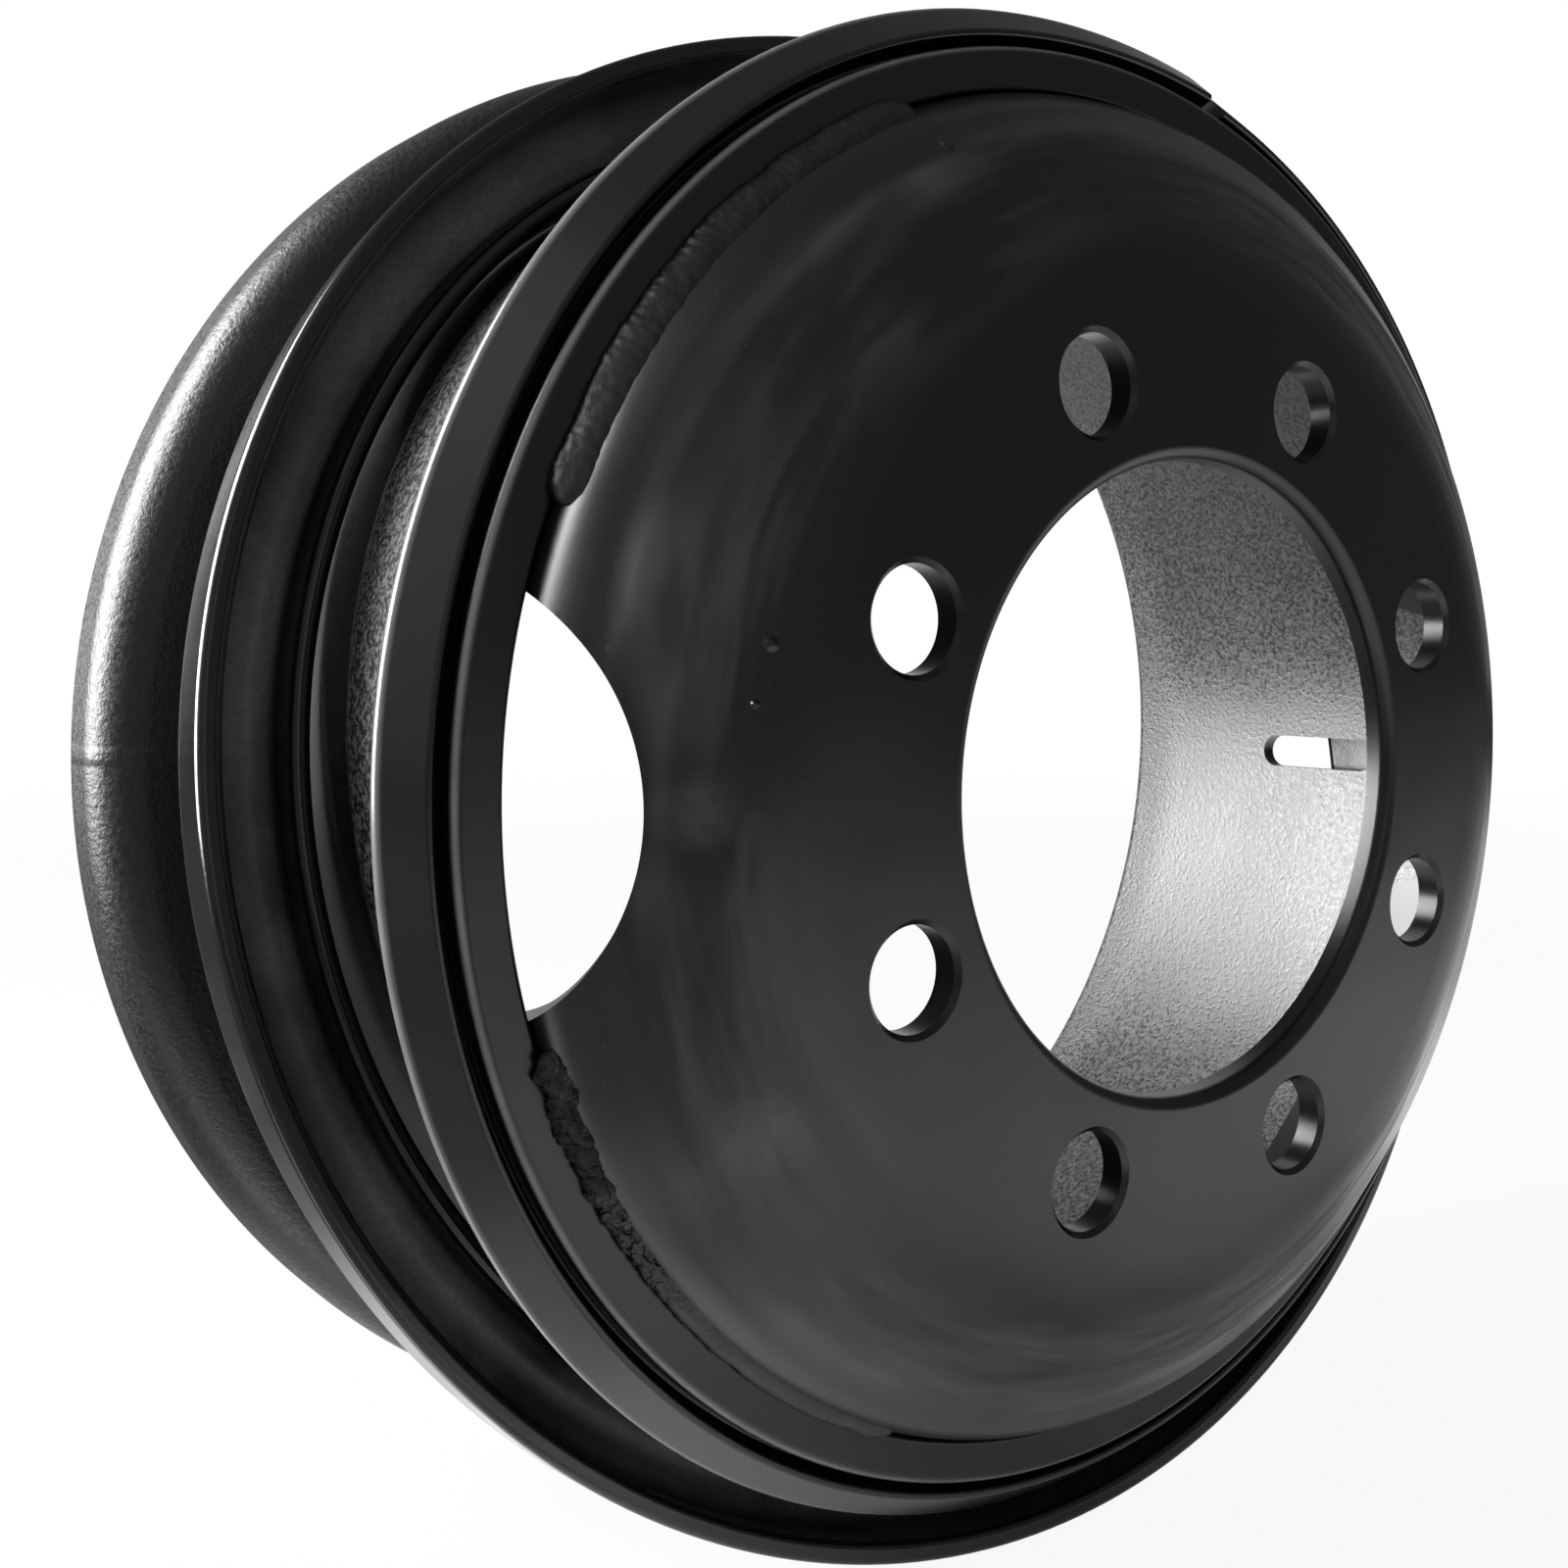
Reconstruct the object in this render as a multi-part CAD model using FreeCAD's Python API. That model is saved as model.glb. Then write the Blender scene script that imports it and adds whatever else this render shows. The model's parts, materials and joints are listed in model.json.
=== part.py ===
import FreeCAD
import Part
import math
import os

# Three-piece truck wheel for a tubed tyre: a rim base with a pressed disc welded in, a loose side
# ring, and a split lock ring sprung into the gutter at the front of the rim base.
# The wheel turns about Y. The origin is the centre of the hub mounting face, which is the back of
# the disc's pad, outboard is -Y and azimuths run from +X towards +Z. Lengths are in millimetres.

# Wheel disc
HUB_BORE_DIA = 214.0
HUB_BORE_EDGE = 1.0
BOLT_CIRCLE_DIA = 275.0
BOLT_COUNT = 8
BOLT_HOLE_DIA = 32.5
BOLT_HOLE_CHAMFER = 1.75
DISC_WALL = 10.0
PAD_EDGE_DIA = 345.6
PAD_BEND = 50.0
CONE_DEG = 27.0
RIDGE_DIA = 417.0
RIDGE_BEND = 30.0
SHOULDER_DEG = 36.0
SHOULDER_BEND = 45.0
SKIRT_EDGE = 1.5
SKIRT_BEHIND_RIM_FRONT = 35.0
HAND_HOLE_COUNT = 2
HAND_HOLE_DIA = 140.0

# Rim base
RIM_BORE_DIA = 470.0
RIM_WALL = 7.0
RIM_FRONT_BEHIND_HUB_FACE = 37.0
RIM_LENGTH = 182.0
GUTTER_LIP_DIA = 500.2
GUTTER_LIP_WIDTH = 10.0
GUTTER_EDGE = 1.6
BEAD_SEAT_DIA = 503.0
BEAD_SEAT_LENGTH = 22.0
BEAD_SEAT_DEG = 5.0
BEAD_SHOULDER_DEG = 50.0
FLANGE_DIA = 584.0
FLANGE_WALL = 8.0
FLANGE_ROOT_WALL = 12.0
FLANGE_DEPTH = 36.0
FLANGE_CURL = 26.0
FLANGE_HEEL = 6.0
FLANGE_LIP_EDGE = 3.5
RIM_REAR_EDGE = 5.0
VALVE_SLOT_WIDTH = 15.0
VALVE_SLOT_LENGTH = 62.0
VALVE_SLOT_BEHIND_RIM_FRONT = 48.0
VALVE_SLOT_AZIMUTH = -1.7

# Lock ring
LOCK_RING_DIA = 532.8
LOCK_RING_FRONT_DIA = 509.0
LOCK_RING_REAR_DIA = 517.0
LOCK_RING_SET_IN = 2.0
LOCK_RING_CREST_SET_IN = 16.3
LOCK_RING_FOOT = 19.7
LOCK_RING_EDGE = 1.6
LOCK_RING_OVER_LIP = 0.9
SPLIT_AZIMUTH = 75.5
SPLIT_GAP_INSIDE = 4.0
SPLIT_GAP_OUTSIDE = 9.0

# Side ring
SIDE_RING_DIA = 580.0
SIDE_RING_BORE_DIA = 506.0
SIDE_RING_DEPTH = 38.0
SIDE_RING_WALL = 8.0
SIDE_RING_CURL = 24.0
SIDE_RING_HOLLOW_BEND = 5.0
SIDE_RING_LIP_EDGE = 3.0
SIDE_RING_TOE_WALL = 7.0
SIDE_RING_TOE_SET_IN = 9.6
SIDE_RING_TOE_EDGE = 2.0
SIDE_RING_HEEL = 4.0
SIDE_RING_LEAN_DEG = 10.4
SIDE_RING_LEAN_AZIMUTH = 291.0

# Weld beads: middle azimuth and length in degrees of each bead
WELD_ARCS = ((43.6, 45.6), (136.4, 45.6), (220.7, 48.2), (319.3, 48.2))
WELD_DISC_LEG = 7.0
WELD_RIM_LEG = 5.0
WELD_RISE = 3.0
WELD_ROOT = 14.0

SEAT_CLEARANCE = 0.3
CUT_MARGIN = 2.0

# Places that several pieces share
DISC_FRONT = -DISC_WALL
RIM_FRONT = RIM_FRONT_BEHIND_HUB_FACE
RIM_BORE = RIM_BORE_DIA / 2
RIM_OUTSIDE = RIM_BORE + RIM_WALL
GUTTER_LIP = GUTTER_LIP_DIA / 2
GUTTER_FRONT = RIM_FRONT + GUTTER_LIP_WIDTH
BEAD_FACE = RIM_FRONT + RIM_LENGTH
LOCK_RING_SEAT = GUTTER_FRONT + SEAT_CLEARANCE
LOCK_RING_REAR = LOCK_RING_SEAT + LOCK_RING_FOOT
SKIRT_END = RIM_FRONT + SKIRT_BEHIND_RIM_FRONT
SIDE_RING_BORE = SIDE_RING_BORE_DIA / 2
SIDE_RING_TOE = SIDE_RING_BORE + SIDE_RING_TOE_WALL

ORIGIN = FreeCAD.Vector(0, 0, 0)
AXIS = FreeCAD.Vector(0, 1, 0)


def slope(degrees):
    return math.tan(math.radians(degrees))


def radial(azimuth):
    angle = math.radians(azimuth)
    return FreeCAD.Vector(math.cos(angle), 0, math.sin(angle))


def rounded_face(corners):
    """Face in the half-plane X > 0 of Z = 0. A corner is (radius, place along Y, rounding)."""
    count = len(corners)
    points = [FreeCAD.Vector(radius, along, 0) for radius, along, _ in corners]
    starts = []
    middles = []
    ends = []
    for i, (_, _, rounding) in enumerate(corners):
        to_last = points[i - 1] - points[i]
        to_next = points[(i + 1) % count] - points[i]
        room = 0.49 * min(to_last.Length, to_next.Length)
        to_last.normalize()
        to_next.normalize()
        half = to_last.getAngle(to_next) / 2
        reach = min(rounding / math.tan(half), room)
        inward = (to_last + to_next).normalize()
        sag = reach * (1 / math.cos(half) - math.tan(half))
        starts.append(points[i] + to_last * reach)
        middles.append(points[i] + inward * sag)
        ends.append(points[i] + to_next * reach)
    edges = []
    for i in range(count):
        if corners[i][2] > 0:
            edges.append(Part.Arc(starts[i], middles[i], ends[i]).toShape())
        edges.append(Part.LineSegment(ends[i], starts[(i + 1) % count]).toShape())
    return Part.Face(Part.Wire(edges))


def turned(corners):
    return rounded_face(corners).revolve(ORIGIN, AXIS, 360)


def thickened(path, wall):
    """Close an open path of corners with the same path set back by wall on its inboard side."""
    normals = []
    for (r0, y0, _), (r1, y1, _) in zip(path, path[1:]):
        run = math.hypot(r1 - r0, y1 - y0)
        normals.append(((y0 - y1) / run, (r1 - r0) / run))
    back = []
    for i, (radius, along, rounding) in enumerate(path):
        before = normals[max(i - 1, 0)]
        after = normals[min(i, len(normals) - 1)]
        share = wall / (1 + before[0] * after[0] + before[1] * after[1])
        inner = (radius + share * (before[0] + after[0]), along + share * (before[1] + after[1]))
        back.append((*inner, max(rounding - wall, 0)))
    return list(path) + back[::-1]


def shoulder_corner():
    """Where the disc's cone beyond the ridge would meet the rim's bore."""
    ridge = DISC_FRONT + (RIDGE_DIA - PAD_EDGE_DIA) / 2 * slope(CONE_DEG)
    corner = ridge + (RIM_BORE - RIDGE_DIA / 2) * slope(SHOULDER_DEG)
    return ridge, corner


def disc_blank():
    """Pressed disc: flat pad, shallow cone, ridge, rounded shoulder and the skirt inside the rim."""
    ridge, corner = shoulder_corner()
    path = [
        (HUB_BORE_DIA / 2, DISC_FRONT, HUB_BORE_EDGE),
        (PAD_EDGE_DIA / 2, DISC_FRONT, PAD_BEND),
        (RIDGE_DIA / 2, ridge, RIDGE_BEND),
        (RIM_BORE, corner, SHOULDER_BEND),
        (RIM_BORE, SKIRT_END, SKIRT_EDGE),
    ]
    return turned(thickened(path, DISC_WALL))


def bolt_hole(azimuth):
    """Plain hole through the pad with a chamfer at the front."""
    centre = radial(azimuth) * (BOLT_CIRCLE_DIA / 2)
    radius = BOLT_HOLE_DIA / 2
    start = centre + AXIS * (DISC_FRONT - CUT_MARGIN)
    hole = Part.makeCylinder(radius, DISC_WALL + 2 * CUT_MARGIN, start, AXIS)
    wide = radius + BOLT_HOLE_CHAMFER + CUT_MARGIN
    chamfer = Part.makeCone(wide, radius, BOLT_HOLE_CHAMFER + CUT_MARGIN, start, AXIS)
    return hole.fuse(chamfer)


def hand_hole(azimuth):
    """Round hole punched square through the shoulder from the ridge outwards, and closed by the rim."""
    ridge, _ = shoulder_corner()
    lean = math.radians(SHOULDER_DEG)
    outward = radial(azimuth)
    down_slope = outward * math.cos(lean) + AXIS * math.sin(lean)
    punch = AXIS * math.cos(lean) - outward * math.sin(lean)
    inner_edge = outward * (RIDGE_DIA / 2) + AXIS * ridge
    start = inner_edge + down_slope * (HAND_HOLE_DIA / 2) - punch * CUT_MARGIN
    return Part.makeCylinder(HAND_HOLE_DIA / 2, SKIRT_END - DISC_FRONT, start, punch)


def wheel_disc():
    step = 360 / BOLT_COUNT
    cuts = [bolt_hole((i + 0.5) * step) for i in range(BOLT_COUNT)]
    cuts += [hand_hole(i * 360 / HAND_HOLE_COUNT) for i in range(HAND_HOLE_COUNT)]
    return disc_blank().cut(cuts)


def valve_slot():
    """Round-ended slot through the rim's wall, for the tube's valve."""
    half = VALVE_SLOT_WIDTH / 2
    front = RIM_FRONT + VALVE_SLOT_BEHIND_RIM_FRONT + half
    rear = RIM_FRONT + VALVE_SLOT_BEHIND_RIM_FRONT + VALVE_SLOT_LENGTH - half
    depth = RIM_WALL + 2 * CUT_MARGIN
    inside = RIM_BORE - CUT_MARGIN
    outward = FreeCAD.Vector(1, 0, 0)
    front_end = Part.makeCylinder(half, depth, FreeCAD.Vector(inside, front, 0), outward)
    rear_end = Part.makeCylinder(half, depth, FreeCAD.Vector(inside, rear, 0), outward)
    middle = Part.makeBox(depth, rear - front, VALVE_SLOT_WIDTH, FreeCAD.Vector(inside, front, -half))
    slot = middle.fuse([front_end, rear_end])
    slot.rotate(ORIGIN, AXIS, -VALVE_SLOT_AZIMUTH)
    return slot


def rim_base():
    """Rolled section: gutter lip, lock ring groove, flat base, bead seat and the fixed rear flange."""
    seat_heel = BEAD_SEAT_DIA / 2
    seat_toe = seat_heel - BEAD_SEAT_LENGTH * slope(BEAD_SEAT_DEG)
    seat_start = BEAD_FACE - BEAD_SEAT_LENGTH
    shoulder_start = seat_start - (seat_toe - RIM_OUTSIDE) / slope(BEAD_SHOULDER_DEG)
    flange = FLANGE_DIA / 2
    lip_end = BEAD_FACE + FLANGE_DEPTH
    section = [
        (RIM_BORE, RIM_FRONT, GUTTER_EDGE),
        (GUTTER_LIP, RIM_FRONT, GUTTER_EDGE),
        (GUTTER_LIP, GUTTER_FRONT, GUTTER_EDGE),
        (RIM_OUTSIDE, GUTTER_FRONT, GUTTER_EDGE),
        (RIM_OUTSIDE, shoulder_start, FLANGE_HEEL),
        (seat_toe, seat_start, FLANGE_HEEL),
        (seat_heel, BEAD_FACE, FLANGE_HEEL),
        (flange, BEAD_FACE, FLANGE_CURL),
        (flange, lip_end, FLANGE_LIP_EDGE),
        (flange - FLANGE_WALL, lip_end, FLANGE_LIP_EDGE),
        (flange - FLANGE_WALL, BEAD_FACE + FLANGE_WALL, FLANGE_CURL - FLANGE_WALL),
        (RIM_BORE, BEAD_FACE + FLANGE_ROOT_WALL, RIM_REAR_EDGE),
    ]
    return turned(section).cut(valve_slot())


def split_gap():
    """Tapered gap between the two ends of the lock ring."""
    inside = RIM_OUTSIDE - CUT_MARGIN
    outside = LOCK_RING_DIA / 2 + CUT_MARGIN
    front = RIM_FRONT - CUT_MARGIN
    corners = [
        FreeCAD.Vector(inside, front, -SPLIT_GAP_INSIDE / 2),
        FreeCAD.Vector(outside, front, -SPLIT_GAP_OUTSIDE / 2),
        FreeCAD.Vector(outside, front, SPLIT_GAP_OUTSIDE / 2),
        FreeCAD.Vector(inside, front, SPLIT_GAP_INSIDE / 2),
    ]
    outline = Part.Face(Part.makePolygon(corners + corners[:1]))
    gap = outline.extrude(AXIS * (LOCK_RING_REAR + CUT_MARGIN - front))
    gap.rotate(ORIGIN, AXIS, -SPLIT_AZIMUTH)
    return gap


def lock_ring():
    """Split spring ring: a foot in the gutter and a bevelled crest that holds the side ring on."""
    foot = RIM_OUTSIDE + SEAT_CLEARANCE
    section = [
        (foot, LOCK_RING_SEAT, LOCK_RING_EDGE),
        (GUTTER_LIP + LOCK_RING_OVER_LIP, LOCK_RING_SEAT, 0),
        (LOCK_RING_FRONT_DIA / 2, RIM_FRONT + LOCK_RING_SET_IN, LOCK_RING_EDGE),
        (LOCK_RING_DIA / 2, RIM_FRONT + LOCK_RING_CREST_SET_IN, LOCK_RING_EDGE),
        (LOCK_RING_REAR_DIA / 2, LOCK_RING_REAR, LOCK_RING_EDGE),
        (foot, LOCK_RING_REAR, LOCK_RING_EDGE),
    ]
    return turned(section).cut(split_gap())


def side_ring_placement():
    """Lean of the loose ring: its top hangs on the rim base and its toe rests on the lock ring."""
    lean = math.radians(SIDE_RING_LEAN_DEG)
    forward = radial(SIDE_RING_LEAN_AZIMUTH)
    heel_radius = SIDE_RING_BORE + SIDE_RING_HEEL
    heel_along = SIDE_RING_DEPTH - SIDE_RING_HEEL
    hang = heel_radius * math.cos(lean) - heel_along * math.sin(lean) - SIDE_RING_HEEL
    drop = hang - RIM_OUTSIDE - SEAT_CLEARANCE
    toe_radius = SIDE_RING_TOE - SIDE_RING_TOE_EDGE
    toe_along = SIDE_RING_TOE_SET_IN + SIDE_RING_TOE_EDGE
    toe_front = toe_along * math.cos(lean) - toe_radius * math.sin(lean) - SIDE_RING_TOE_EDGE
    along = LOCK_RING_REAR + SEAT_CLEARANCE - toe_front
    turn = FreeCAD.Rotation(AXIS.cross(forward), SIDE_RING_LEAN_DEG)
    return FreeCAD.Placement(forward * drop + AXIS * along, turn)


def side_ring():
    """Endless flange ring, hollow at the front between its rolled lip and its toe."""
    outside = SIDE_RING_DIA / 2
    lip_inside = outside - SIDE_RING_WALL
    web = SIDE_RING_DEPTH - SIDE_RING_WALL
    section = [
        (outside, 0, SIDE_RING_LIP_EDGE),
        (outside, SIDE_RING_DEPTH, SIDE_RING_CURL),
        (SIDE_RING_BORE, SIDE_RING_DEPTH, SIDE_RING_HEEL),
        (SIDE_RING_BORE, SIDE_RING_TOE_SET_IN, SIDE_RING_TOE_EDGE),
        (SIDE_RING_TOE, SIDE_RING_TOE_SET_IN, SIDE_RING_TOE_EDGE),
        (SIDE_RING_TOE, web, SIDE_RING_HOLLOW_BEND),
        (lip_inside, web, SIDE_RING_CURL - SIDE_RING_WALL),
        (lip_inside, 0, SIDE_RING_LIP_EDGE),
    ]
    ring = turned(section)
    ring.Placement = side_ring_placement()
    return ring


def weld_beads(disc, rim):
    """Fillet welds in the groove between the disc's shoulder and the front of the rim."""
    _, corner = shoulder_corner()
    room = disc.translated(AXIS * -SEAT_CLEARANCE)
    section = [
        (RIM_BORE - WELD_DISC_LEG, corner, 0),
        (RIM_BORE, corner - WELD_RISE, WELD_RIM_LEG),
        (RIM_BORE + WELD_RIM_LEG, RIM_FRONT - WELD_RISE / 2, 0),
        (RIM_BORE + WELD_RIM_LEG, RIM_FRONT + WELD_RISE, 0),
        (RIM_BORE - WELD_RISE, corner + WELD_ROOT, 0),
    ]
    beads = []
    for middle, length in WELD_ARCS:
        bead = rounded_face(section).revolve(ORIGIN, AXIS, length)
        bead.rotate(ORIGIN, AXIS, -middle - length / 2)
        beads += bead.cut([room, disc, rim]).Solids
    return Part.Compound(beads)


disc = wheel_disc()
rim = rim_base()
pieces = {
    "wheel_disc": disc,
    "rim_base": rim,
    "lock_ring": lock_ring(),
    "side_ring": side_ring(),
    "disc_weld_beads": weld_beads(disc, rim),
}
os.makedirs("parts", exist_ok=True)
for name, shape in pieces.items():
    shape.exportStep(f"parts/{name}.step")
    print(name, len(shape.Solids), "solids", round(shape.Volume / 1000), "cm3", shape.isValid())
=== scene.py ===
import bpy
import json
import math
from mathutils import Matrix, Vector, noise


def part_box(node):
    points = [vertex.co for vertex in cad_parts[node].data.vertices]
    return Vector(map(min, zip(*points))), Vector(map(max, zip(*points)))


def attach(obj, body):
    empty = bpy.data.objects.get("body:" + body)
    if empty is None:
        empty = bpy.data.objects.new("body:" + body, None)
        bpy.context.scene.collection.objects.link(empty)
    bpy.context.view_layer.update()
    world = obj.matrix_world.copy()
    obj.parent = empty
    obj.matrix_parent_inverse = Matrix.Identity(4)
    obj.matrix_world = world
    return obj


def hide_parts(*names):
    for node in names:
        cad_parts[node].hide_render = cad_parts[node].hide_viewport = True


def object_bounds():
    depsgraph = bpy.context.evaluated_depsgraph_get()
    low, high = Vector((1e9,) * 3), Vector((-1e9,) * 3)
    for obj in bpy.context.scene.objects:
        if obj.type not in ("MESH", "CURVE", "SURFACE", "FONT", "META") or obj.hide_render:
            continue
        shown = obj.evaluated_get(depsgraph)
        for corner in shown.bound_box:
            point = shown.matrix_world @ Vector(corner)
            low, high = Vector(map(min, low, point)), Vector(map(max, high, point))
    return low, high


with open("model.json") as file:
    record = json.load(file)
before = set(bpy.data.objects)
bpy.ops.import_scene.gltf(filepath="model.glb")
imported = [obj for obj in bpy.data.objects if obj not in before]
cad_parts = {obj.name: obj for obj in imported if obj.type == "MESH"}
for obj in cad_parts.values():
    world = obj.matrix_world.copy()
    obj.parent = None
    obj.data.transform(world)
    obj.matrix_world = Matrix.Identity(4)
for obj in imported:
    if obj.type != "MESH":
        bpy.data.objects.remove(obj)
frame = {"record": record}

cad_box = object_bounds()

# Rim base: one rolled steel section bent into a hoop and butt welded at the left, with the fixed rear
# flange, the bead seat, the flat base and the gutter. It is shot blasted, which leaves a sandy skin, and
# sprayed black. On the flat base the coat is thin and grey steel shows, except in a narrow band just in
# front of the side ring, which is kept black as a painted shadow of the ring. The gutter's lip is rubbed
# in patches and painted lighter along its front edge as a painted highlight of its edge line.
rim_low, rim_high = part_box("rim_base")
RIM_BORE = 0.235
RIM_WALL = 0.007
RIM_OUTSIDE = RIM_BORE + RIM_WALL
RIM_FRONT = rim_low.y
GUTTER_LIP = 0.2501
GUTTER_LIP_WIDTH = 0.010
GUTTER_FRONT = RIM_FRONT + GUTTER_LIP_WIDTH
GUTTER_EDGE = 0.0016
GUTTER_LIP_EDGE = 0.0036
BEAD_FACE_SET_BACK = 0.182
BEAD_FACE = RIM_FRONT + BEAD_FACE_SET_BACK
SEAT_LENGTH = 0.022
SEAT_LEAN = math.radians(5)
SEAT_HEEL = 0.2515
SEAT_TOE = SEAT_HEEL - SEAT_LENGTH * math.tan(SEAT_LEAN)
SEAT_START = BEAD_FACE - SEAT_LENGTH
RAMP_LEAN = math.radians(50)
RAMP_START = SEAT_START - (SEAT_TOE - RIM_OUTSIDE) / math.tan(RAMP_LEAN)
FLANGE = rim_high.x
FLANGE_END = rim_high.y
FLANGE_WALL = 0.008
FLANGE_ROOT_WALL = 0.012
FLANGE_CURL = 0.026
FLANGE_HEEL = 0.006
FLANGE_LIP_EDGE = 0.0035
RIM_REAR_EDGE = 0.005
VALVE_SLOT_SIDES = 48
VALVE_SLOT_HALF_WIDTH = 0.0075
VALVE_SLOT_SET_BACK = 0.048
VALVE_SLOT_LENGTH = 0.062
VALVE_SLOT_FRONT = RIM_FRONT + VALVE_SLOT_SET_BACK
VALVE_SLOT_REAR = VALVE_SLOT_FRONT + VALVE_SLOT_LENGTH
VALVE_SLOT_AZIMUTH = math.radians(-1.7)
AXIS = Vector((0, 1, 0))
SEED_SIZE = 0.01
TURN_STEPS = 240
ARC_STEP = math.radians(6)
ARC_SHARE = 0.49
SMOOTH_ANGLE = math.radians(28)
MERGE_DISTANCE = 0.000001


def rounded(corners):
    """Closed section in the plane of X and Y, with an arc at each corner (radius, along, rounding)."""
    points = []
    for i, (radius, along, rounding) in enumerate(corners):
        corner = Vector((radius, along, 0))
        before = Vector((*corners[i - 1][:2], 0)) - corner
        after = Vector((*corners[(i + 1) % len(corners)][:2], 0)) - corner
        half = before.angle(after) / 2
        reach = min(rounding / math.tan(half), ARC_SHARE * min(before.length, after.length))
        if reach == 0:
            points.append(corner)
            continue
        middle = (before.normalized() + after.normalized()).normalized()
        centre = corner + middle * reach / math.cos(half)
        start = corner + before.normalized() * reach - centre
        end = corner + after.normalized() * reach - centre
        sweep = math.pi - 2 * half
        steps = max(2, round(sweep / ARC_STEP))
        for k in range(steps + 1):
            share = k / steps
            arm = start * math.sin((1 - share) * sweep) + end * math.sin(share * sweep)
            points.append(centre + arm / math.sin(sweep))
    return points


def turned(name, corners):
    """Ring made by extruding a vertex round its section and spinning that about the wheel's axis."""
    points = rounded(corners)
    bpy.ops.object.select_all(action="DESELECT")
    bpy.ops.mesh.primitive_plane_add(size=SEED_SIZE)
    ring = bpy.context.object
    ring.name = name
    bpy.ops.object.mode_set(mode="EDIT")
    bpy.ops.mesh.merge(type="CENTER")
    bpy.ops.transform.translate(value=points[0])
    for here, there in zip(points, points[1:] + points[:1]):
        bpy.ops.mesh.extrude_vertices_move(TRANSFORM_OT_translate={"value": there - here})
    bpy.ops.mesh.select_all(action="SELECT")
    bpy.ops.mesh.remove_doubles(threshold=MERGE_DISTANCE)
    bpy.ops.mesh.spin(steps=TURN_STEPS, angle=math.tau, center=(0, 0, 0), axis=AXIS)
    bpy.ops.mesh.select_all(action="SELECT")
    bpy.ops.mesh.remove_doubles(threshold=MERGE_DISTANCE)
    bpy.ops.mesh.normals_make_consistent(inside=False)
    bpy.ops.object.mode_set(mode="OBJECT")
    return ring


def choose(piece):
    bpy.ops.object.select_all(action="DESELECT")
    piece.select_set(True)
    bpy.context.view_layer.objects.active = piece


def modify(piece, kind, **settings):
    """Add a modifier, set it and apply it."""
    choose(piece)
    modifier = piece.modifiers.new(kind.lower(), kind)
    for key, value in settings.items():
        setattr(modifier, key, value)
    bpy.ops.object.modifier_apply(modifier=modifier.name)


def cut(piece, tool):
    modify(piece, "BOOLEAN", object=tool, operation="DIFFERENCE", solver="EXACT")
    bpy.data.objects.remove(tool)


def settle():
    """Put the chosen object's place, turn and scale into its vertices."""
    bpy.ops.object.transform_apply(location=True, rotation=True, scale=True)


def smooth(piece):
    """Shade smooth across soft bends, with the wide faces deciding the normals at their borders."""
    choose(piece)
    bpy.ops.object.shade_smooth_by_angle(angle=SMOOTH_ANGLE)
    modify(piece, "WEIGHTED_NORMAL", keep_sharp=True)


rim = turned("rim_base_rolled", [
    (RIM_BORE, RIM_FRONT, GUTTER_EDGE),
    (GUTTER_LIP, RIM_FRONT, GUTTER_LIP_EDGE),
    (GUTTER_LIP, GUTTER_FRONT, GUTTER_EDGE),
    (RIM_OUTSIDE, GUTTER_FRONT, GUTTER_EDGE),
    (RIM_OUTSIDE, RAMP_START, FLANGE_HEEL),
    (SEAT_TOE, SEAT_START, FLANGE_HEEL),
    (SEAT_HEEL, BEAD_FACE, FLANGE_HEEL),
    (FLANGE, BEAD_FACE, FLANGE_CURL),
    (FLANGE, FLANGE_END, FLANGE_LIP_EDGE),
    (FLANGE - FLANGE_WALL, FLANGE_END, FLANGE_LIP_EDGE),
    (FLANGE - FLANGE_WALL, BEAD_FACE + FLANGE_WALL, FLANGE_CURL - FLANGE_WALL),
    (RIM_BORE, BEAD_FACE + FLANGE_ROOT_WALL, RIM_REAR_EDGE),
])
slot_middle = (VALVE_SLOT_FRONT + VALVE_SLOT_REAR) / 2
slot_half_run = (VALVE_SLOT_REAR - VALVE_SLOT_FRONT) / 2 - VALVE_SLOT_HALF_WIDTH
bpy.ops.object.select_all(action="DESELECT")
bpy.ops.mesh.primitive_cylinder_add(
    vertices=VALVE_SLOT_SIDES, radius=VALVE_SLOT_HALF_WIDTH, depth=4 * RIM_WALL,
    location=(RIM_OUTSIDE, slot_middle, 0), rotation=(0, math.pi / 2, 0))
slot_tool = bpy.context.object
settle()
for vertex in slot_tool.data.vertices:
    vertex.co.y += math.copysign(slot_half_run, vertex.co.y - slot_middle)
slot_tool.rotation_euler.y = -VALVE_SLOT_AZIMUTH
settle()
cut(rim, slot_tool)
smooth(rim)


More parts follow.
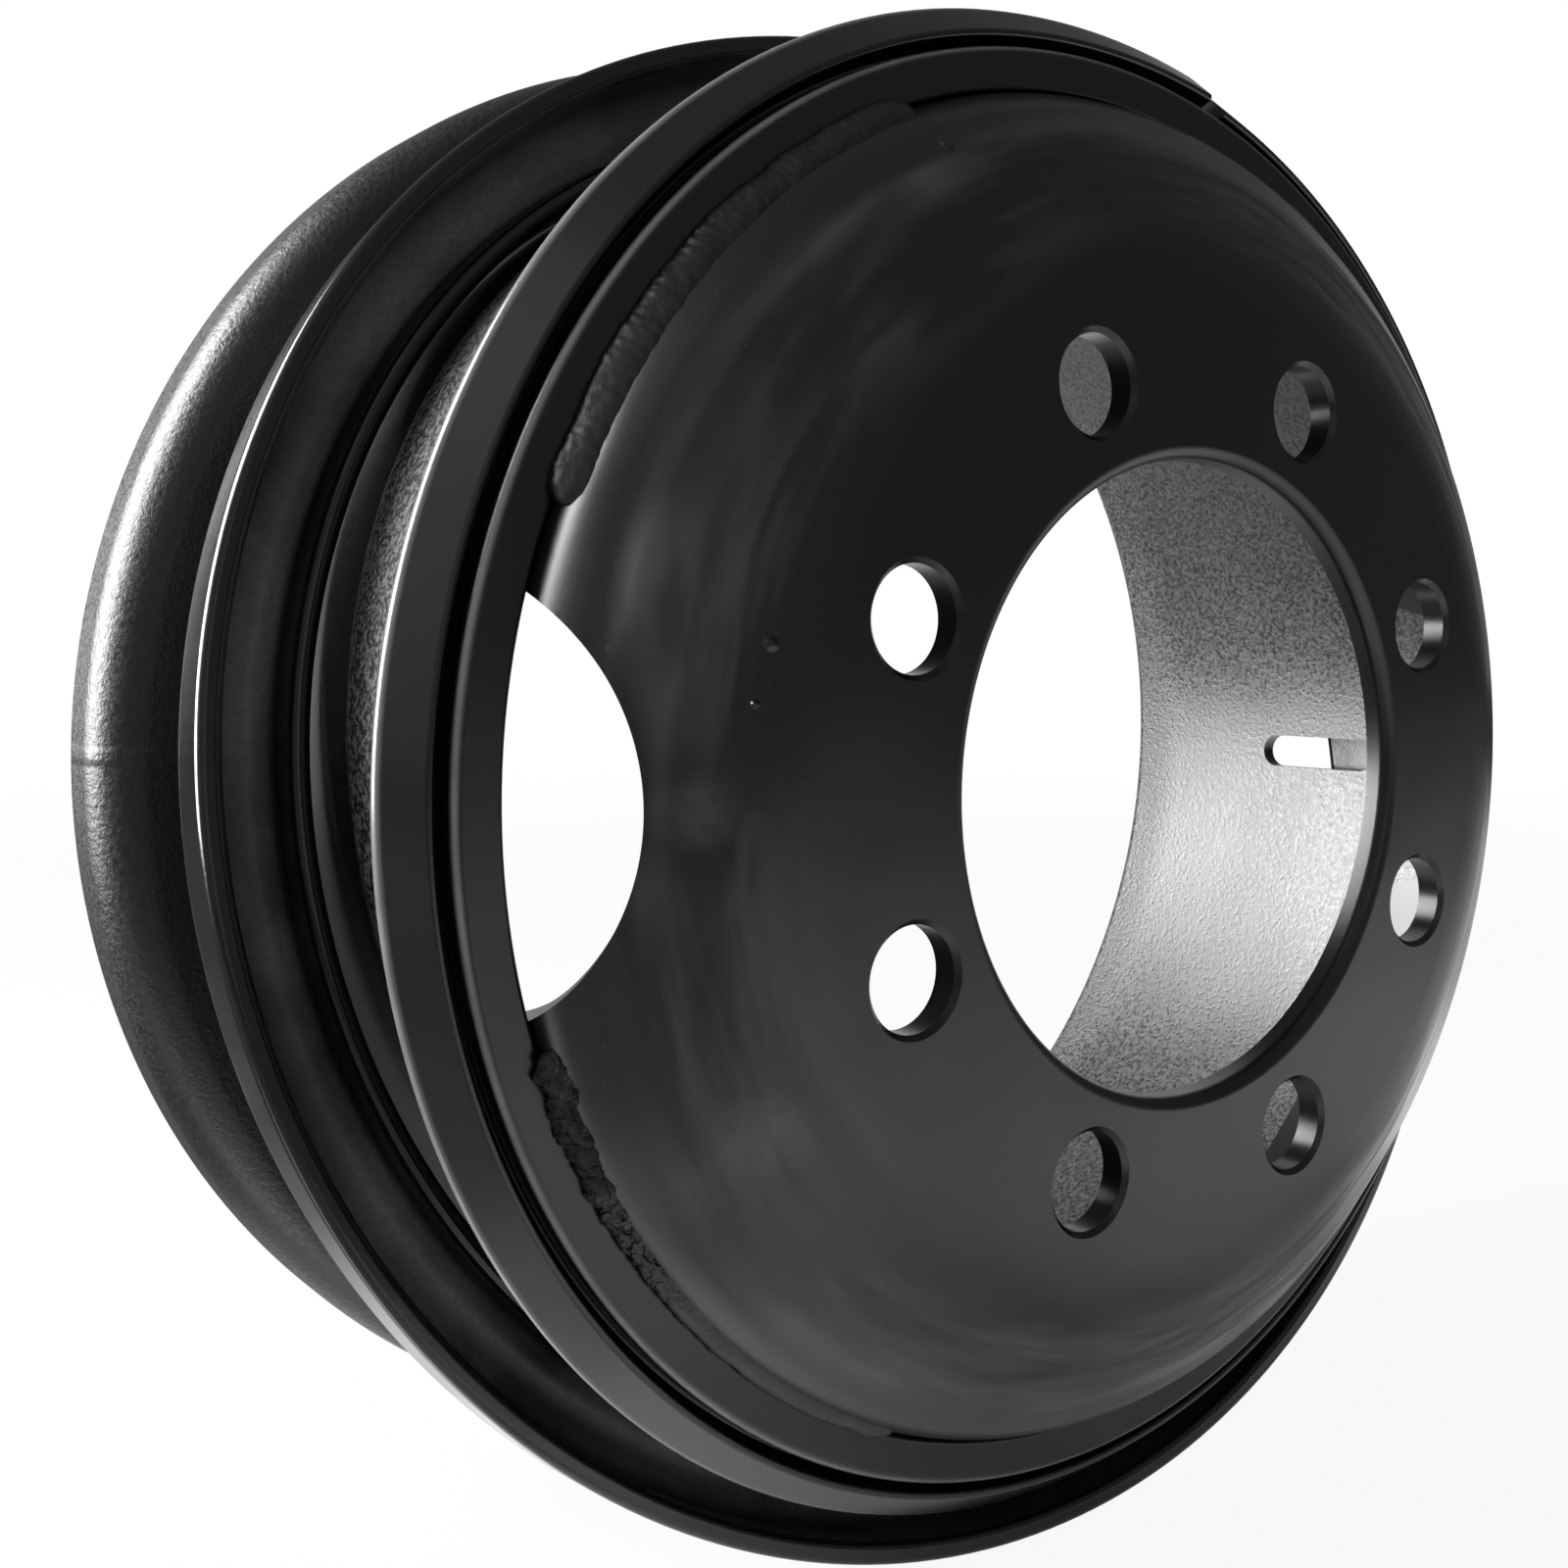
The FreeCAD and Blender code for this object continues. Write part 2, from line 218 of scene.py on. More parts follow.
class Shade:
    """A socket in a node tree. Arithmetic on it adds Math nodes to that tree."""

    def __init__(self, tree, socket=None):
        self.tree = tree
        self.socket = socket

    def node(self, kind, settings, inputs, output=0):
        """Add a shader node, set it, fill its inputs with values or links, and give one of its outputs."""
        made = self.tree.nodes.new("ShaderNode" + kind)
        for key, value in settings.items():
            setattr(made, key, value)
        for key, value in inputs.items():
            if isinstance(value, Shade):
                self.tree.links.new(value.socket, made.inputs[key])
            else:
                made.inputs[key].default_value = value
        return Shade(self.tree, made.outputs[output] if made.outputs else None)

    def maths(self, operation, first, second=0.0):
        return self.node("Math", {"operation": operation}, {0: first, 1: second})

    def size(self):
        return self.maths("ABSOLUTE", self)

    def most(self, other):
        return self.maths("MAXIMUM", self, other)

    def __add__(self, other):
        return self.maths("ADD", self, other)

    __radd__ = __add__

    def __sub__(self, other):
        return self.maths("SUBTRACT", self, other)

    def __rsub__(self, other):
        return self.maths("SUBTRACT", other, self)

    def __mul__(self, other):
        return self.maths("MULTIPLY", self, other)

    __rmul__ = __mul__

    def __pow__(self, power):
        return self.maths("POWER", self, power)

    def rise(self, low, high):
        """Soft step, from 0 at low to 1 at high."""
        limits = {"Value": self, "From Min": low, "From Max": high}
        return self.node("MapRange", {"interpolation_type": "SMOOTHSTEP"}, limits)

    def clouds(self, scale, detail=2.0, roughness=0.5):
        """Noise on this vector, about 0 to 1, with the given number of lumps in a metre."""
        inputs = {"Vector": self, "Scale": scale, "Detail": detail, "Roughness": roughness}
        return self.node("TexNoise", {}, inputs)

    def part(self, letter):
        return self.node("SeparateXYZ", {}, {0: self}, letter)

    def dot(self, direction):
        return self.node("VectorMath", {"operation": "DOT_PRODUCT"}, {0: self, 1: direction}, "Value")

    def off(self, point):
        """Distance of this place from a point."""
        return self.node("VectorMath", {"operation": "DISTANCE"}, {0: self, 1: point}, "Value")

    def away(self, centre=(0, 0), letters="XZ"):
        """Distance of this place from a centre, in the plane of two axes."""
        first, second = (self.part(letter) - middle for letter, middle in zip(letters, centre))
        return (first ** 2 + second ** 2) ** 0.5

    def spots(self, reaches):
        """Sum of soft round spots, with the reach of each by its place in X and Z."""
        return sum(1 - self.away(centre).rise(0.2 * reach, reach) for centre, reach in reaches.items())

    def blend(self, first, second):
        """Colour between two others, by this share of the second."""
        return self.node("Mix", {"data_type": "RGBA"}, {"Factor": self, "A": first, "B": second}, "Result")


def grey(level):
    return (level, level, level, 1.0)


def started(name):
    """New empty material, and a socket for places on the piece in metres."""
    material = bpy.data.materials.new(name)
    material.use_nodes = True
    material.node_tree.nodes.clear()
    return material, Shade(material.node_tree).node("TexCoord", {}, {}, "Object")


def painted(place, colour, roughness, height):
    """Close a material: paint of that colour and roughness over relief of that height in metres."""
    relief = place.node("Bump", {}, {"Strength": 1.0, "Distance": 1.0, "Height": height}, "Normal")
    inputs = {"Base Color": colour, "Roughness": roughness, "Normal": relief}
    coat = place.node("BsdfPrincipled", {}, inputs)
    place.node("OutputMaterial", {}, {"Surface": coat})


BLACK = grey(0.005)
THIN_GREY = grey(0.045)
STRIP_GREY = grey(0.13)
RUB_AND_HIGHLIGHT_GREY = grey(0.20)
GRAINS = 520
GRAIN_MEAN = 0.43
SEAM_PLACE = 0.006
SEAM_HEIGHT = 0.0004
side_low, side_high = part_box("side_ring")
side_middle = (side_low + side_high) / 2
LEAN = math.radians(10.4)
LEAN_AZIMUTH = math.radians(291)
TOE_FROM_MIDDLE = 0.0084
leaning = Vector((math.cos(LEAN_AZIMUTH), 0, math.sin(LEAN_AZIMUTH)))
ring_axis = AXIS * math.cos(LEAN) + leaning * math.sin(LEAN)
ring_front = side_middle.dot(ring_axis) - TOE_FROM_MIDDLE
rim_paint, place = started("sandy_black_over_blasted_steel")
radius = place.away()
along = place.part("Y")
grain = place.clouds(GRAINS, 2.0, 0.7)
drift = place.clouds(14, 2.0)
flange = along.rise(SEAT_START, BEAD_FACE)
off_lip = along.rise(GUTTER_FRONT + 0.004, GUTTER_FRONT + 0.010)
inside = off_lip * (1 - radius.rise(RIM_BORE + 0.001, RIM_BORE + 0.003))
# Painted shadow: the grey outside strip stays black for a few millimetres in front of the side ring's toe.
clear_of_painted_ring_shadow = (ring_front - place.dot(ring_axis)).rise(0.0015, 0.005)
flat_base = 1 - radius.rise(RIM_OUTSIDE + 0.001, RIM_OUTSIDE + 0.004)
outside = off_lip * clear_of_painted_ring_shadow * flat_base * (1 - inside)
thin = inside * (0.2 + 0.8 * grain.rise(0.32, 0.68))
strip = outside * grain.rise(0.42, 0.62)
# Painted highlight: the gutter lip's front edge is lighter grey in patches, along its bright edge line.
lip_front = 1 - along.rise(RIM_FRONT + 0.001, RIM_FRONT + 0.003)
lip = radius.rise(GUTTER_LIP - 0.0026, GUTTER_LIP - 0.0010) * lip_front
rub_and_painted_highlight = lip * (0.35 + 0.50 * place.clouds(45, 3.0))
rim_colour = strip.blend(thin.blend(BLACK, THIN_GREY), STRIP_GREY)
rim_colour = rub_and_painted_highlight.blend(rim_colour, RUB_AND_HIGHLIGHT_GREY)
rim_rough = 0.22 + 0.12 * drift + 0.25 * outside + 0.08 * flange
rim_rough = rim_rough + (0.55 * inside + 0.50 * flange) * (grain - GRAIN_MEAN)
seam_side = (1 - place.part("X").rise(-0.02, 0.0)) * radius.rise(SEAT_HEEL, SEAT_HEEL + 0.010)
seam = seam_side * (1 - (place.part("Z") - SEAM_PLACE).size().rise(0.0008, 0.0040))
gritty = 0.00028 * flange + 0.00050 * outside + 0.00017 * inside + 0.00002
rim_height = grain * gritty + place.clouds(11, 1.0) * 0.0012 + seam * SEAM_HEIGHT
painted(place, rim_colour, rim_rough, rim_height)
rim.data.materials.append(rim_paint)
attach(rim, "root")
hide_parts("rim_base")

# Wheel disc: one blank of 10 mm plate, pressed into a flat pad, a dished cone and a skirt that fits in
# the rim. The bore, the chamfered bolt holes and two hand holes, square through the shoulder, are punched.
# It is sprayed in smooth half-gloss black, with soft pressing waves that carry a painted sheen of lighter
# streaks, three paint nibs and two soft lighter patches.
disc_low, disc_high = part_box("wheel_disc")
mounts = {mount["name"]: mount["dims"] for mount in frame["record"]["mounts"]}
HUB_BORE = mounts["hub_bore"]["r_mm"] / 1000
BOLT_CIRCLE = mounts["hub_bolts"]["pcd_mm"] / 2000
BOLT_COUNT = mounts["hub_bolts"]["count"]
BOLT_HOLE = mounts["hub_bolts"]["hole_r_mm"] / 1000
BOLT_CHAMFER = 0.00175
BOLT_HOLE_SIDES = 72
DISC_FRONT = disc_low.y
DISC_WALL = -DISC_FRONT
PAD_EDGE = 0.1728
PAD_BEND = 0.050
CONE_LEAN = math.radians(27)
RIDGE = 0.2085
RIDGE_BEND = 0.030
RIDGE_ALONG = DISC_FRONT + (RIDGE - PAD_EDGE) * math.tan(CONE_LEAN)
SHOULDER_LEAN = math.radians(36)
SHOULDER_BEND = 0.045
SHOULDER_ALONG = RIDGE_ALONG + (RIM_BORE - RIDGE) * math.tan(SHOULDER_LEAN)
SKIRT_END = disc_high.y
PLATE_EDGE = 0.0012
BORE_EDGE = 0.0050
HAND_HOLE = 0.070
HAND_HOLE_SIDES = 240
CUT_MARGIN = 0.002
FACING_FRONT = (math.pi / 2, 0, 0)


def thickened(path, wall):
    """Close an open path of corners with the same path set back by wall."""
    normals = []
    for (r0, y0, _), (r1, y1, _) in zip(path, path[1:]):
        run = math.hypot(r1 - r0, y1 - y0)
        normals.append(Vector(((y0 - y1) / run, (r1 - r0) / run)))
    back = []
    for i, (radius, along, rounding) in enumerate(path):
        before = normals[max(i - 1, 0)]
        after = normals[min(i, len(normals) - 1)]
        inner = Vector((radius, along)) + (before + after) * wall / (1 + before.dot(after))
        back.append((*inner, max(rounding - wall, 0)))
    return path + back[::-1]


def joined(pieces):
    choose(pieces[0])
    for piece in pieces:
        piece.select_set(True)
    bpy.ops.object.join()
    settle()
    return pieces[0]


disc = turned("wheel_disc_pressed", thickened([
    (HUB_BORE, DISC_FRONT, BORE_EDGE),
    (PAD_EDGE, DISC_FRONT, PAD_BEND),
    (RIDGE, RIDGE_ALONG, RIDGE_BEND),
    (RIM_BORE, SHOULDER_ALONG, SHOULDER_BEND),
    (RIM_BORE, SKIRT_END, PLATE_EDGE),
], DISC_WALL))
hand_holes = []
for side in (-1, 1):
    across = side * (RIDGE + HAND_HOLE * math.cos(SHOULDER_LEAN))
    deep = RIDGE_ALONG + HAND_HOLE * math.sin(SHOULDER_LEAN)
    bpy.ops.mesh.primitive_cylinder_add(
        vertices=HAND_HOLE_SIDES, radius=HAND_HOLE, depth=2 * SKIRT_END,
        location=(across, deep, 0), rotation=(math.pi / 2, 0, side * SHOULDER_LEAN))
    hand_holes.append(bpy.context.object)
cut(disc, joined(hand_holes))
bolt_holes = []
chamfers = []
for i in range(BOLT_COUNT):
    turn = (i + 0.5) * math.tau / BOLT_COUNT
    x, z = BOLT_CIRCLE * math.cos(turn), BOLT_CIRCLE * math.sin(turn)
    bpy.ops.mesh.primitive_cylinder_add(
        vertices=BOLT_HOLE_SIDES, radius=BOLT_HOLE, depth=4 * DISC_WALL, location=(x, 0, z),
        rotation=FACING_FRONT)
    bolt_holes.append(bpy.context.object)
    bpy.ops.mesh.primitive_cone_add(
        vertices=BOLT_HOLE_SIDES, radius1=BOLT_HOLE, radius2=BOLT_HOLE + BOLT_CHAMFER + CUT_MARGIN,
        depth=BOLT_CHAMFER + CUT_MARGIN, rotation=FACING_FRONT,
        location=(x, DISC_FRONT + (BOLT_CHAMFER - CUT_MARGIN) / 2, z))
    chamfers.append(bpy.context.object)
cut(disc, joined(bolt_holes))
cut(disc, joined(chamfers))
smooth(disc)

NIBS = {(-0.1761, 0.0454): 0.0024, (-0.1810, 0.0291): 0.0014, (-0.0934, 0.1998): 0.0030}
NIB_HEIGHT = 0.0010
LIGHT_PATCHES = {(-0.1738, -0.0934): 0.018, (-0.1955, -0.0007): 0.014}
LIGHTER_GREY = grey(0.06)
RING_HEIGHT = 0.0028
CREASE_DEPTH = 0.00022
disc_paint, place = started("smooth_black_over_pressed_plate")
radius = place.away()
patches = place.clouds(9, 3.0)
waves = place.clouds(6, 1.0) * 0.0045 + place.clouds(19, 1.0) * 0.0007
turn = place.maths("ARCTAN2", place.part("Z"), place.part("X"))
streaks = {"X": radius * 62, "Y": turn.size() * 2.2, "Z": place.part("Z") * 4}
rings = place.node("CombineXYZ", {}, streaks).clouds(1.0, 2.0)
pressed = radius.rise(PAD_EDGE - 0.01, RIDGE - 0.015) * (1 - radius.rise(RIDGE + 0.006, RIDGE + 0.016))
crease = 1 - (radius - RIDGE + 0.0015).size().rise(0.0, 0.0065)
peel = place.clouds(380, 2.0)
dust = place.clouds(900, 1.0).rise(0.70, 0.80)
nibs = place.spots(NIBS) * (0.6 + 0.8 * peel)
# Two soft lighter patches at given places, lumpy inside.
light_patches = place.spots(LIGHT_PATCHES) * place.clouds(160, 3.0)
# Painted sheen: lighter streaks along the pressing rings on the cone, in place of their reflections.
painted_ring_sheen = rings.rise(0.42, 0.66) * patches.rise(0.38, 0.62) * pressed
disc_colour = (dust * 0.35 + painted_ring_sheen * 0.7 + light_patches * 0.9).blend(BLACK, LIGHTER_GREY)
disc_rough = 0.23 + 0.13 * patches + 0.10 * dust
disc_height = rings * pressed * RING_HEIGHT - crease * CREASE_DEPTH + waves + peel * 0.000014
painted(place, disc_colour, disc_rough, disc_height + nibs * NIB_HEIGHT)
disc.data.materials.append(disc_paint)
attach(disc, "root")
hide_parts("wheel_disc")

# Weld beads: four fillet welds, laid by hand in the groove between the disc's shoulder and the rim's
# front, and left out at the hand holes and at the top and bottom. Each has small ripples and lumps, tapers
# at its ends and is painted over. The thin one at the lower left is ragged and starts in a pitted crater.
BEADS = {
    "upper_right": (20.8, 66.4, 0.0068, 0.10),
    "upper_left": (113.6, 159.2, 0.0068, 0.16),
    "lower_left": (196.6, 244.8, 0.0042, 0.16),
    "lower_right": (295.2, 343.4, 0.0054, 0.14),
}
BEAD_RADIUS = RIM_BORE - 0.0014
BEAD_ALONG = RIM_FRONT - 0.0036
BEAD_FLATNESS = 0.46
BEAD_LEAN = math.radians(40)
BEAD_SIDES = 36
BEAD_STEP = 0.0006
BEAD_END = 0.010
RIPPLE = 0.02
RIPPLE_LENGTH = 0.0030
SWAY = 0.12
SWAYS = 40
LUMPS = 110
CRUMBS = 420
RAGGED = "lower_left"
RAGGED_LENGTH = 0.090
RAGGED_LUMPS = 150
CRATER_LENGTH = 0.044
CRATER_FADE = 0.010
CRATER_SWELL = 0.30
CRATER_PLACE = (-0.2185, RIM_FRONT, -0.0800)
PIT_DEPTH = 0.0030
SCALE_GREY = grey(0.03)


def weld_bead(side, first, last, half_width, lumps):
    """Oval section spun along its arc, then swollen and pinched along its length."""
    bpy.ops.object.select_all(action="DESELECT")
    bpy.ops.mesh.primitive_circle_add(vertices=BEAD_SIDES, radius=half_width, location=(0, 0, 0))
    bead = bpy.context.object
    bead.name = "weld_bead_" + side
    bead.scale = (1, BEAD_FLATNESS, 1)
    bead.rotation_euler.z = BEAD_LEAN
    bead.location = (BEAD_RADIUS, BEAD_ALONG, 0)
    settle()
    bead.rotation_euler.y = -first
    settle()
    length = (last - first) * BEAD_RADIUS
    bpy.ops.object.mode_set(mode="EDIT")
    bpy.ops.mesh.select_all(action="SELECT")
    bpy.ops.mesh.spin(steps=round(length / BEAD_STEP), angle=last - first, center=(0, 0, 0), axis=AXIS)
    bpy.ops.object.mode_set(mode="OBJECT")
    for vertex in bead.data.vertices:
        azimuth = math.atan2(vertex.co.z, vertex.co.x) % math.tau
        run = (azimuth - first) * BEAD_RADIUS
        to_end = max(0.0, min(run, length - run, BEAD_END))
        taper = math.sqrt(1 - (1 - to_end / BEAD_END) ** 2)
        sway = noise.noise(Vector((run * SWAYS, 0, first)))
        ripple = RIPPLE * abs(math.sin(math.pi * run / RIPPLE_LENGTH + 2 * sway))
        crumb = noise.noise(vertex.co * CRUMBS)
        lump = lumps * (noise.noise(vertex.co * LUMPS) + 0.5 * crumb) + SWAY * sway
        if side == RAGGED and run < RAGGED_LENGTH:
            left = 1 - max(run, 0) / RAGGED_LENGTH
            lump += left * (0.9 * noise.noise(vertex.co * RAGGED_LUMPS) + 0.6 * crumb)
            lump += CRATER_SWELL * min(1, max(0, (CRATER_LENGTH - run) / CRATER_FADE))
        middle = Vector((BEAD_RADIUS * math.cos(azimuth), BEAD_ALONG, BEAD_RADIUS * math.sin(azimuth)))
        vertex.co = middle + (vertex.co - middle) * taper * (1 + ripple + lump)
    bpy.ops.object.mode_set(mode="EDIT")
    bpy.ops.mesh.select_all(action="SELECT")
    bpy.ops.mesh.remove_doubles(threshold=MERGE_DISTANCE)
    bpy.ops.mesh.normals_make_consistent(inside=False)
    bpy.ops.object.mode_set(mode="OBJECT")
    bpy.ops.object.shade_smooth()
    return bead


weld_paint, place = started("black_over_rough_weld")
scale_skin = place.clouds(500, 3.0, 0.6)
from_crater = place.off(CRATER_PLACE)
pits = place.clouds(300, 2.0).rise(0.44, 0.60) * (1 - from_crater.rise(0.030, 0.085))
weld_colour = scale_skin.rise(0.62, 0.85).blend(BLACK, SCALE_GREY)
weld_rough = 0.34 + 0.22 * place.clouds(70, 2.0) + 0.35 * (1 - from_crater.rise(0.026, 0.040))
painted(place, weld_colour, weld_rough, scale_skin * 0.00022 - pits * PIT_DEPTH)
for side, (first, last, half_width, lumps) in BEADS.items():
    bead = weld_bead(side, math.radians(first), math.radians(last), half_width, lumps)
    bead.data.materials.append(weld_paint)
    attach(bead, "root")
    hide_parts("disc_weld_beads")

# Side ring: an endless ring of rolled steel, painted black, that serves as the loose front flange. It is
# hollow at the front between its lip and its toe, where its paint is lighter in patches as a painted
# sheen of the hollow's bend. It hangs with its top on the rim base and leans with its toe on the lock
# ring.
SIDE_RING = 0.290
SIDE_BORE = 0.253
SIDE_DEPTH = 0.038
SIDE_WALL = 0.008
SIDE_WEB = SIDE_DEPTH - SIDE_WALL
SIDE_CURL = 0.024
SIDE_HEEL = 0.004
SIDE_LIP_EDGE = 0.003
SIDE_TOE = SIDE_BORE + 0.007
SIDE_TOE_SET_IN = 0.0096
SIDE_TOE_EDGE = 0.0034
SIDE_HOLLOW_BEND = 0.010
HOLLOW_SHEEN_GREY = grey(0.20)

side_ring = turned("side_ring_rolled", [
    (SIDE_RING, 0, SIDE_LIP_EDGE),
    (SIDE_RING, SIDE_DEPTH, SIDE_CURL),
    (SIDE_BORE, SIDE_DEPTH, SIDE_HEEL),
    (SIDE_BORE, SIDE_TOE_SET_IN, SIDE_TOE_EDGE),
    (SIDE_TOE, SIDE_TOE_SET_IN, SIDE_TOE_EDGE),
    (SIDE_TOE, SIDE_WEB, SIDE_HOLLOW_BEND),
    (SIDE_RING - SIDE_WALL, SIDE_WEB, SIDE_CURL - SIDE_WALL),
    (SIDE_RING - SIDE_WALL, 0, SIDE_LIP_EDGE),
])
side_ring.rotation_mode = "QUATERNION"
side_ring.rotation_quaternion = Matrix.Rotation(LEAN, 3, AXIS.cross(leaning)).to_quaternion()
settle()
places = [vertex.co for vertex in side_ring.data.vertices]
own_middle = Vector((min(p[i] for p in places) + max(p[i] for p in places)) / 2 for i in range(3))
side_ring.location = side_middle - own_middle
settle()
smooth(side_ring)

side_paint, place = started("black_over_rolled_ring")
patches = place.clouds(14, 3.0)
peel = place.clouds(520, 2.0)
ring_along = place.dot(ring_axis) - side_middle.dot(ring_axis)
ring_radius = (place.off(side_middle) ** 2 - ring_along ** 2) ** 0.5
within_lip = 1 - ring_radius.rise(SIDE_RING - 0.012, SIDE_RING - 0.006)
hollow = ring_radius.rise(SIDE_TOE, SIDE_TOE + 0.003) * within_lip
# Painted highlight: the hollow's paint is lighter grey in patches, in place of the soft sheen of its bend.
painted_hollow_sheen = hollow * patches.rise(0.2, 0.6) * (0.4 + 0.6 * peel)
side_rough = 0.14 + 0.10 * patches + 0.25 * hollow
painted(place, painted_hollow_sheen.blend(BLACK, HOLLOW_SHEEN_GREY), side_rough, peel * 0.00003 + patches * 0.0006)
side_ring.data.materials.append(side_paint)
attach(side_ring, "root")
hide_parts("side_ring")

# Lock ring: a rolled spring-steel bar, painted black and split at the upper right, that is sprung into
# the gutter of the rim base to keep the side ring on. Its left end stands out a little at the split, and
# its crest is rubbed where levers have gone in and is painted lighter all round as a painted highlight
# along the crest line.
_, lock_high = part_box("lock_ring")
SEAT_GAP = 0.0003
LOCK_FOOT = RIM_OUTSIDE + SEAT_GAP
LOCK_SEAT = GUTTER_FRONT + SEAT_GAP
LOCK_OVER_LIP = GUTTER_LIP + 0.0009
LOCK_FRONT = 0.2545
LOCK_FRONT_ALONG = RIM_FRONT + 0.002
LOCK_CREST = 0.2664
LOCK_CREST_ALONG = RIM_FRONT + 0.0163
LOCK_BACK = 0.2585
LOCK_REAR = lock_high.y
LOCK_EDGE = 0.0016
LOCK_CREST_EDGE = 0.0030
SPLIT_AZIMUTH = math.radians(75.5)
SPLIT_INSIDE = 0.004
SPLIT_OUTSIDE = 0.013
SPRING_REACH = math.radians(24)
SPRING_OUT = 0.0026
CREST_GREY = grey(0.12)

lock_ring = turned("lock_ring_sprung", [
    (LOCK_FOOT, LOCK_SEAT, LOCK_EDGE),
    (LOCK_OVER_LIP, LOCK_SEAT, 0),
    (LOCK_FRONT, LOCK_FRONT_ALONG, LOCK_EDGE),
    (LOCK_CREST, LOCK_CREST_ALONG, LOCK_CREST_EDGE),
    (LOCK_BACK, LOCK_REAR, LOCK_EDGE),
    (LOCK_FOOT, LOCK_REAR, LOCK_EDGE),
])
split_height = LOCK_CREST - LOCK_FOOT + 2 * CUT_MARGIN
bpy.ops.object.select_all(action="DESELECT")
bpy.ops.mesh.primitive_cube_add(size=1, location=((LOCK_FOOT + LOCK_CREST) / 2, LOCK_SEAT, 0))
split_tool = bpy.context.object
split_tool.scale = (split_height, 2 * (LOCK_REAR - RIM_FRONT), SPLIT_INSIDE)
settle()
for vertex in split_tool.data.vertices:
    if vertex.co.x > LOCK_CREST:
        vertex.co.z *= SPLIT_OUTSIDE / SPLIT_INSIDE
split_tool.rotation_euler.y = -SPLIT_AZIMUTH
settle()
cut(lock_ring, split_tool)
for vertex in lock_ring.data.vertices:
    past = (math.atan2(vertex.co.z, vertex.co.x) - SPLIT_AZIMUTH) / SPRING_REACH
    if 0 < past < 1:
        swell = 1 + SPRING_OUT * (1 - past) ** 2 / math.hypot(vertex.co.x, vertex.co.z)
        vertex.co.x *= swell
        vertex.co.z *= swell
smooth(lock_ring)

lock_paint, place = started("black_over_spring_bar")
patches = place.clouds(12, 3.0)
peel = place.clouds(480, 2.0)
# Painted highlight: the crest is lighter grey in patches all round, along its bright edge line, and
# rubbed.
crest = place.away().rise(LOCK_CREST - 0.0024, LOCK_CREST - 0.0008)
rub_and_painted_highlight = crest * (0.4 + 0.6 * place.clouds(60, 3.0))
lock_rough = 0.18 + 0.10 * patches - 0.03 * rub_and_painted_highlight
painted(place, rub_and_painted_highlight.blend(BLACK, CREST_GREY), lock_rough, peel * 0.00003 + patches * 0.0008)
lock_ring.data.materials.append(lock_paint)
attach(lock_ring, "root")
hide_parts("lock_ring")

# Floor: a plain white sweep that the wheel stands on. Seen directly it is near white and keeps a soft
# shadow. To the paint's reflections it glows with painted light and shade: uneven, darker at the left
# and behind the wheel, with a painted shadow of the wheel at its right and under its foot, black far off,
# where it runs into the dim room, and a painted strip of the window's light at the left.
FLOOR_SIZE = 40
FLOOR_GREY = grey(0.4)
FLOOR_GLOW = 0.93
FLOOR_NEAR = 0.8
FLOOR_FAR = 4.4
SHADE_MIDDLE = (0.12, 0)
FOOT = (0, 0.12)
POOL_LEVEL = 2.2
POOL_ALONG = 0.135
bpy.ops.object.select_all(action="DESELECT")
bpy.ops.mesh.primitive_plane_add(size=FLOOR_SIZE, location=(0, 0, cad_box[0][2]))
floor = bpy.context.object
floor.name = "floor"
settle()
floor_white, place = started("floor_white")
camera_ray = place.node("LightPath", {}, {}, "Is Camera Ray")
glossy_ray = place.node("LightPath", {}, {}, "Is Glossy Ray")
clear_ray = place.node("LightPath", {}, {}, "Is Transmission Ray")
mirrored = glossy_ray + clear_ray
across, along = place.part("X"), place.part("Y")
far = place.away(letters="XY").rise(FLOOR_NEAR, FLOOR_FAR)
# Painted light and shade in the floor's reflected glow: wheel shadow, foot shadow, blotches, window strip.
left = 0.28 + 0.72 * across.rise(-0.42, -0.22)
shaded = 0.60 + 0.65 * place.away(SHADE_MIDDLE, "XY").rise(0.12, 0.42)
under = 0.35 + 0.65 * place.away(FOOT, "XY").rise(0.04, 0.22)
behind = 1 - 0.8 * along.rise(0.22, 0.45) * (1 - across.rise(-0.10, 0.20))
uneven = 0.62 + 0.70 * place.clouds(5, 2.0).rise(0.36, 0.64)
beside = across.rise(-0.80, -0.60) * (1 - across.rise(-0.30, -0.16))
painted_window_pool = POOL_LEVEL * beside * (1 - (along - POOL_ALONG).size().rise(0.015, 0.055))
seen = camera_ray * (FLOOR_GLOW + (1 - FLOOR_GLOW) * far) + mirrored
level = camera_ray + mirrored * (left * shaded * under * behind * uneven * (1 - far) + painted_window_pool)
matt = place.node("BsdfDiffuse", {}, {"Color": FLOOR_GREY})
glow = place.node("Emission", {}, {"Color": level, "Strength": 1.0})
sweep = place.node("MixShader", {}, {0: seen, 1: matt, 2: glow})
place.node("OutputMaterial", {}, {"Surface": sweep})
floor.data.materials.append(floor_white)

